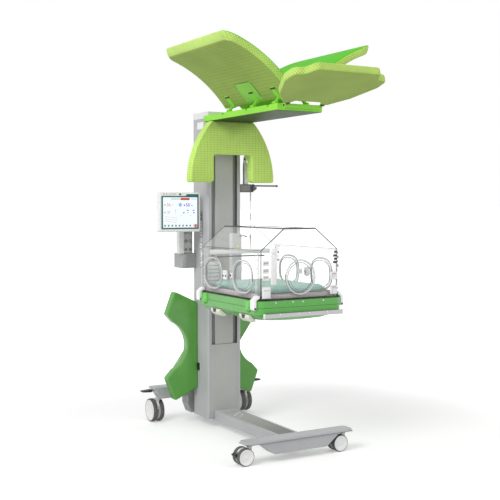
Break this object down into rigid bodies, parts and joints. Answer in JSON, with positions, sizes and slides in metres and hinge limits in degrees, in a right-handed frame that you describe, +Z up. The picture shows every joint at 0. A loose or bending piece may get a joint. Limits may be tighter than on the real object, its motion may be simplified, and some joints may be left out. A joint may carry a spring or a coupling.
{
  "type": "infant incubator",
  "caption": "Infant incubator with a heated bed under a clear hood, carried on a wheeled lifting column below a folding padded canopy.",
  "frame": {"origin": "on the floor under the middle of the incubator's overall box", "axes": "+Z up, the bed and its foot end reach out from the column towards -Y, +X to the right when facing the foot end's view"},
  "size_m": [0.9312, 1.7273, 2.2675],
  "materials": {
    "base_beam": "satin",
    "front_crossbar": "satin",
    "rear_crossbar": "satin",
    "column_mast": "satin",
    "column_front_panel": "satin",
    "column_lower_cover": "satin",
    "column_cap": "satin",
    "mains_switch": "satin",
    "wing_left": "satin",
    "wing_right": "satin",
    "wing_brace": "satin",
    "lift_carriage": "satin",
    "sensor_tower": "satin",
    "bed_tub": "satin",
    "bed_pan": "satin",
    "mattress_deck": "satin",
    "mattress": "matte",
    "equipment_rail": "satin",
    "tilt_handle_front": "satin",
    "tilt_handle_rear": "satin",
    "hood_shell": "gloss",
    "side_panel_left": "gloss",
    "side_panel_right": "gloss",
    "port_latch_left": "satin",
    "port_latch_right": "satin",
    "canopy_bridge": "satin",
    "canopy_arch": "matte",
    "petal_left": "matte",
    "petal_right": "matte",
    "petal_front": "matte",
    "monitor_bracket": "satin",
    "monitor_post": "satin",
    "socket_panel": "satin",
    "monitor_screen": "satin",
    "hook_bracket": "satin",
    "hook_arm": "satin",
    "gas_bottle": "satin",
    "drop_line": "satin",
    "drop_weight": "satin",
    "hinge_arm_left_front": "satin",
    "port_door_left_front": "gloss",
    "hinge_arm_left_rear": "satin",
    "port_door_left_rear": "gloss",
    "hinge_arm_right_front": "satin",
    "port_door_right_front": "gloss",
    "hinge_arm_right_rear": "satin",
    "port_door_right_rear": "gloss",
    "port_door_front": "gloss",
    "caster_fork_front_left": "satin",
    "caster_wheels_front_left": "matte",
    "brake_pedal_front_left": "satin",
    "caster_fork_front_right": "satin",
    "caster_wheels_front_right": "matte",
    "brake_pedal_front_right": "satin",
    "caster_fork_rear_left": "satin",
    "caster_wheels_rear_left": "matte",
    "brake_pedal_rear_left": "satin",
    "caster_fork_rear_right": "satin",
    "caster_wheels_rear_right": "matte",
    "brake_pedal_rear_right": "satin"
  },
  "bodies": {
    "stand": {"base_beam": "base_beam", "front_crossbar": "front_crossbar", "rear_crossbar": "rear_crossbar", "column_mast": "column_mast", "column_front_panel": "column_front_panel", "column_lower_cover": "column_lower_cover", "column_cap": "column_cap", "wing_left": "wing_left", "wing_right": "wing_right", "wing_brace": "wing_brace", "canopy_bridge": "canopy_bridge", "canopy_arch": "canopy_arch", "monitor_bracket": "monitor_bracket", "hook_bracket": "hook_bracket", "gas_bottle": "gas_bottle", "drop_line": "drop_line", "drop_weight": "drop_weight"},
    "mains_switch": {"mains_switch": "mains_switch"},
    "bed": {"lift_carriage": "lift_carriage", "sensor_tower": "sensor_tower", "bed_tub": "bed_tub", "bed_pan": "bed_pan", "hood_shell": "hood_shell", "equipment_rail": "equipment_rail"},
    "mattress_deck": {"mattress_deck": "mattress_deck", "mattress": "mattress"},
    "side_left": {"side_panel_left": "side_panel_left", "hinge_arm_left_front": "hinge_arm_left_front", "hinge_arm_left_rear": "hinge_arm_left_rear"},
    "side_right": {"side_panel_right": "side_panel_right", "hinge_arm_right_front": "hinge_arm_right_front", "hinge_arm_right_rear": "hinge_arm_right_rear"},
    "monitor_post": {"monitor_post": "monitor_post", "socket_panel": "socket_panel"},
    "monitor_screen": {"monitor_screen": "monitor_screen"},
    "hook_arm": {"hook_arm": "hook_arm"},
    "tilt_handle_front": {"tilt_handle_front": "tilt_handle_front"},
    "tilt_handle_rear": {"tilt_handle_rear": "tilt_handle_rear"},
    "port_door_front": {"port_door_front": "port_door_front"},
    "port_door_left_front": {"port_door_left_front": "port_door_left_front"},
    "port_door_left_rear": {"port_door_left_rear": "port_door_left_rear"},
    "port_door_right_front": {"port_door_right_front": "port_door_right_front"},
    "port_door_right_rear": {"port_door_right_rear": "port_door_right_rear"},
    "port_latch_left": {"port_latch_left": "port_latch_left"},
    "port_latch_right": {"port_latch_right": "port_latch_right"},
    "petal_left": {"petal_left": "petal_left"},
    "petal_right": {"petal_right": "petal_right"},
    "petal_front": {"petal_front": "petal_front"},
    "caster_front_left": {"caster_fork_front_left": "caster_fork_front_left"},
    "wheels_front_left": {"caster_wheels_front_left": "caster_wheels_front_left"},
    "pedal_front_left": {"brake_pedal_front_left": "brake_pedal_front_left"},
    "caster_front_right": {"caster_fork_front_right": "caster_fork_front_right"},
    "wheels_front_right": {"caster_wheels_front_right": "caster_wheels_front_right"},
    "pedal_front_right": {"brake_pedal_front_right": "brake_pedal_front_right"},
    "caster_rear_left": {"caster_fork_rear_left": "caster_fork_rear_left"},
    "wheels_rear_left": {"caster_wheels_rear_left": "caster_wheels_rear_left"},
    "pedal_rear_left": {"brake_pedal_rear_left": "brake_pedal_rear_left"},
    "caster_rear_right": {"caster_fork_rear_right": "caster_fork_rear_right"},
    "wheels_rear_right": {"caster_wheels_rear_right": "caster_wheels_rear_right"},
    "pedal_rear_right": {"brake_pedal_rear_right": "brake_pedal_rear_right"}
  },
  "joints": [
    {"name": "bed_lift", "type": "slide", "parent": "stand", "child": "bed", "axis": [0, 0, 1], "range_m": [-0.22, 0.18]},
    {"name": "deck_tilt", "type": "hinge", "parent": "bed", "child": "mattress_deck", "pos_m": [0, -0.074, 0.83], "axis": [1, 0, 0], "range_deg": [-6, 6]},
    {"name": "side_left_drop", "type": "hinge", "parent": "bed", "child": "side_left", "pos_m": [-0.2796, -0.074, 0.828], "axis": [0, -1, 0], "range_deg": [0, 110]},
    {"name": "port_left_front_door", "type": "hinge", "parent": "side_left", "child": "port_door_left_front", "pos_m": [-0.2586, -0.342, 0.987], "axis": [0, 0, 1], "range_deg": [0, 100]},
    {"name": "port_left_rear_door", "type": "hinge", "parent": "side_left", "child": "port_door_left_rear", "pos_m": [-0.2586, 0.216, 0.987], "axis": [0, 0, -1], "range_deg": [0, 100]},
    {"name": "port_left_latch", "type": "slide", "parent": "side_left", "child": "port_latch_left", "axis": [1, 0, 0], "range_m": [0, 0.003], "stiffness_N_per_m": 300},
    {"name": "side_right_drop", "type": "hinge", "parent": "bed", "child": "side_right", "pos_m": [0.2796, -0.074, 0.828], "axis": [0, 1, 0], "range_deg": [0, 110]},
    {"name": "port_right_front_door", "type": "hinge", "parent": "side_right", "child": "port_door_right_front", "pos_m": [0.2586, -0.342, 0.987], "axis": [0, 0, -1], "range_deg": [0, 100]},
    {"name": "port_right_rear_door", "type": "hinge", "parent": "side_right", "child": "port_door_right_rear", "pos_m": [0.2586, 0.216, 0.987], "axis": [0, 0, 1], "range_deg": [0, 100]},
    {"name": "port_right_latch", "type": "slide", "parent": "side_right", "child": "port_latch_right", "axis": [-1, 0, 0], "range_m": [0, 0.003], "stiffness_N_per_m": 300},
    {"name": "port_front_door", "type": "hinge", "parent": "bed", "child": "port_door_front", "pos_m": [-0.096, -0.415, 0.987], "axis": [0, 0, -1], "range_deg": [0, 100]},
    {"name": "tilt_lever_front", "type": "hinge", "parent": "bed", "child": "tilt_handle_front", "pos_m": [-0.2614, -0.275, 0.788], "axis": [0, 1, 0], "range_deg": [0, 20]},
    {"name": "tilt_lever_rear", "type": "hinge", "parent": "bed", "child": "tilt_handle_rear", "pos_m": [-0.2614, 0.056, 0.788], "axis": [0, 1, 0], "range_deg": [0, 20]},
    {"name": "petal_left_fold", "type": "hinge", "parent": "stand", "child": "petal_left", "pos_m": [-0.1, -0.054, 1.927], "axis": [0, -1, 0], "range_deg": [0, 105]},
    {"name": "petal_right_fold", "type": "hinge", "parent": "stand", "child": "petal_right", "pos_m": [0.1, -0.054, 1.927], "axis": [0, 1, 0], "range_deg": [0, 105]},
    {"name": "petal_front_fold", "type": "hinge", "parent": "stand", "child": "petal_front", "pos_m": [0, -0.432, 1.903], "axis": [1, 0, 0], "range_deg": [0, 95]},
    {"name": "monitor_swivel", "type": "hinge", "parent": "stand", "child": "monitor_post", "pos_m": [-0.2, 0.636, 1.074], "axis": [0, 0, 1], "range_deg": [-45, 10]},
    {"name": "monitor_tilt", "type": "hinge", "parent": "monitor_post", "child": "monitor_screen", "pos_m": [-0.2205, 0.572, 1.32], "axis": [1, 0, 0], "range_deg": [-15, 15]},
    {"name": "hook_swing", "type": "hinge", "parent": "stand", "child": "hook_arm", "pos_m": [0.222, 0.476, 1.4963], "axis": [0, 0, 1], "range_deg": [-60, 60]},
    {"name": "switch_rocker", "type": "hinge", "parent": "stand", "child": "mains_switch", "pos_m": [-0.1153, 0.569, 0.3665], "axis": [0, 1, 0], "range_deg": [-5, 5]},
    {"name": "caster_front_left_swivel", "type": "hinge", "parent": "stand", "child": "caster_front_left", "pos_m": [-0.303, -0.3865, 0.111], "axis": [0, 0, 1], "continuous": true},
    {"name": "caster_front_left_roll", "type": "hinge", "parent": "caster_front_left", "child": "wheels_front_left", "pos_m": [-0.339, -0.3865, 0.048], "axis": [0, 1, 0], "continuous": true},
    {"name": "brake_front_left", "type": "hinge", "parent": "caster_front_left", "child": "pedal_front_left", "pos_m": [-0.3925, -0.3865, 0.061], "axis": [0, -1, 0], "range_deg": [0, 10]},
    {"name": "caster_front_right_swivel", "type": "hinge", "parent": "stand", "child": "caster_front_right", "pos_m": [0.303, -0.3865, 0.111], "axis": [0, 0, 1], "continuous": true},
    {"name": "caster_front_right_roll", "type": "hinge", "parent": "caster_front_right", "child": "wheels_front_right", "pos_m": [0.267, -0.3865, 0.048], "axis": [0, 1, 0], "continuous": true},
    {"name": "brake_front_right", "type": "hinge", "parent": "caster_front_right", "child": "pedal_front_right", "pos_m": [0.2135, -0.3865, 0.061], "axis": [0, -1, 0], "range_deg": [0, 10]},
    {"name": "caster_rear_left_swivel", "type": "hinge", "parent": "stand", "child": "caster_rear_left", "pos_m": [-0.32, 0.751, 0.155], "axis": [0, 0, 1], "continuous": true},
    {"name": "caster_rear_left_roll", "type": "hinge", "parent": "caster_rear_left", "child": "wheels_rear_left", "pos_m": [-0.32, 0.791, 0.073], "axis": [1, 0, 0], "continuous": true},
    {"name": "brake_rear_left", "type": "hinge", "parent": "stand", "child": "pedal_rear_left", "pos_m": [-0.368, 0.751, 0.205], "axis": [0, -1, 0], "range_deg": [0, 15]},
    {"name": "caster_rear_right_swivel", "type": "hinge", "parent": "stand", "child": "caster_rear_right", "pos_m": [0.32, 0.751, 0.155], "axis": [0, 0, 1], "continuous": true},
    {"name": "caster_rear_right_roll", "type": "hinge", "parent": "caster_rear_right", "child": "wheels_rear_right", "pos_m": [0.32, 0.791, 0.073], "axis": [1, 0, 0], "continuous": true},
    {"name": "brake_rear_right", "type": "hinge", "parent": "stand", "child": "pedal_rear_right", "pos_m": [0.368, 0.751, 0.205], "axis": [0, 1, 0], "range_deg": [0, 15]}
  ]
}
